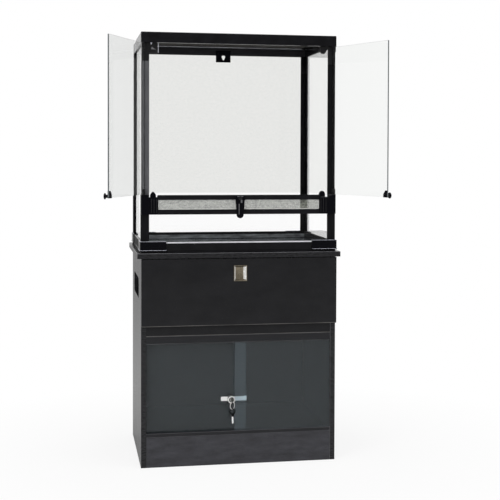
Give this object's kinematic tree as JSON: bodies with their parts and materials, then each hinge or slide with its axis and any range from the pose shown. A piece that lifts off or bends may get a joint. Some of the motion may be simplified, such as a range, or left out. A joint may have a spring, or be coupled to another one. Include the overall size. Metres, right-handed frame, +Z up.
{
  "type": "reptile terrarium",
  "caption": "Front-opening glass reptile terrarium with hinged doors, vent strip and mesh lid on a black cabinet with a drop-down flap and locked tinted sliding doors.",
  "frame": {"origin": "middle of the front plinth board's lower face, on the floor", "axes": "+X to the right as seen from the front, +Y to the back, +Z up; the doors open towards -Y"},
  "size_m": [0.8289, 0.7202, 1.318],
  "materials": {
    "black_board": "black melamine-faced chipboard with a fine grain, satin",
    "tinted_glass": "dark grey tinted float glass with ground edges",
    "clear_glass": "clear float glass with ground edges",
    "black_frame": "extruded black plastic, satin",
    "black_plastic": "injection-moulded black plastic, satin",
    "track_plastic": "extruded black plastic track, satin",
    "bright_metal": "bright plated metal",
    "pull_metal": "satin plated cup",
    "hinge_steel": "plain zinc-plated steel",
    "wire_mesh": "fine woven wire, dark grey"
  },
  "bodies": {
    "carcass": {"cabinet_left_side": "black_board", "cabinet_right_side": "black_board", "cabinet_top": "black_board", "cabinet_bottom": "black_board", "middle_shelf": "black_board", "cabinet_back": "black_board", "plinth": "black_board", "rear_plinth": "black_board", "front_rail": "black_board", "upper_track": "track_plastic", "lower_track": "track_plastic", "rail_hinge_leaf": "hinge_steel", "flap_hinge_pin": "hinge_steel", "magnet_catches": "black_plastic", "base_frame": "black_frame", "base_corner_brackets": "black_plastic", "floor_pane": "clear_glass", "front_left_post": "black_frame", "front_right_post": "black_frame", "back_left_post": "black_frame", "back_right_post": "black_frame", "top_corner_connectors": "black_plastic", "top_frame": "black_frame", "back_glass": "clear_glass", "left_side_glass": "clear_glass", "right_side_glass": "clear_glass", "front_lower_glass": "clear_glass", "vent_upper_rail": "black_frame", "vent_lower_rail": "black_frame", "vent_mesh": "wire_mesh", "left_hinge_block": "black_plastic", "right_hinge_block": "black_plastic", "latch_pivot": "hinge_steel", "rear_lock_tab": "black_plastic", "lock_tab_screws": "hinge_steel"},
    "flap_door": {"flap": "black_board", "cup_pull": "pull_metal", "flap_hinge_leaf": "hinge_steel", "catch_plates": "hinge_steel"},
    "left_pane": {"left_sliding_glass": "tinted_glass", "lock_bar": "bright_metal"},
    "right_pane": {"right_sliding_glass": "tinted_glass"},
    "lock": {"lock_barrel": "bright_metal"},
    "key": {"key_in_lock": "bright_metal"},
    "ring": {"key_ring": "bright_metal"},
    "spare": {"spare_key": "bright_metal"},
    "left_door": {"left_door_glass": "clear_glass", "left_hinge_clips": "black_plastic", "left_door_knob": "black_plastic"},
    "right_door": {"right_door_glass": "clear_glass", "right_hinge_clips": "black_plastic", "right_door_knob": "black_plastic"},
    "latch": {"front_latch": "black_plastic"},
    "lid": {"lid_frame": "black_frame", "lid_mesh": "wire_mesh"}
  },
  "joints": [
    {"name": "flap_hinge", "type": "hinge", "parent": "carcass", "child": "flap_door", "pos_m": [0, -0.0083, 0.4305], "axis": [1, 0, 0], "range_deg": [0, 90]},
    {"name": "left_pane_slide", "type": "slide", "parent": "carcass", "child": "left_pane", "axis": [1, 0, 0], "range_m": [0, 0.25]},
    {"name": "right_pane_slide", "type": "slide", "parent": "carcass", "child": "right_pane", "axis": [-1, 0, 0], "range_m": [0, 0.22]},
    {"name": "lock_slide", "type": "slide", "parent": "right_pane", "child": "lock", "axis": [-1, 0, 0], "range_m": [0, 0.018]},
    {"name": "key_turn", "type": "hinge", "parent": "lock", "child": "key", "pos_m": [-0.0253, -0.01, 0.2], "axis": [0, 1, 0], "range_deg": [0, 90]},
    {"name": "ring_swing", "type": "hinge", "parent": "key", "child": "ring", "pos_m": [-0.0253, -0.035, 0.1976], "axis": [0.7071, 0.7071, 0], "range_deg": [-30, 12]},
    {"name": "spare_key_swing", "type": "hinge", "parent": "ring", "child": "spare", "pos_m": [-0.0253, -0.035, 0.1756], "axis": [0.7071, 0.7071, 0], "range_deg": [-25, 12]},
    {"name": "left_door_hinge", "type": "hinge", "parent": "carcass", "child": "left_door", "pos_m": [-0.291, -0.004, 1.056], "axis": [0, 0, 1], "range_deg": [-25, 113.3]},
    {"name": "right_door_hinge", "type": "hinge", "parent": "carcass", "child": "right_door", "pos_m": [0.291, -0.004, 1.056], "axis": [0, 0, 1], "range_deg": [-110.9, 25]},
    {"name": "latch_turn", "type": "hinge", "parent": "carcass", "child": "latch", "pos_m": [0, -0.0123, 0.8171], "axis": [0, 1, 0], "range_deg": [-60, 60]},
    {"name": "lid_lift", "type": "slide", "parent": "carcass", "child": "lid", "axis": [0, 0, 1], "range_m": [0, 0.06]}
  ]
}
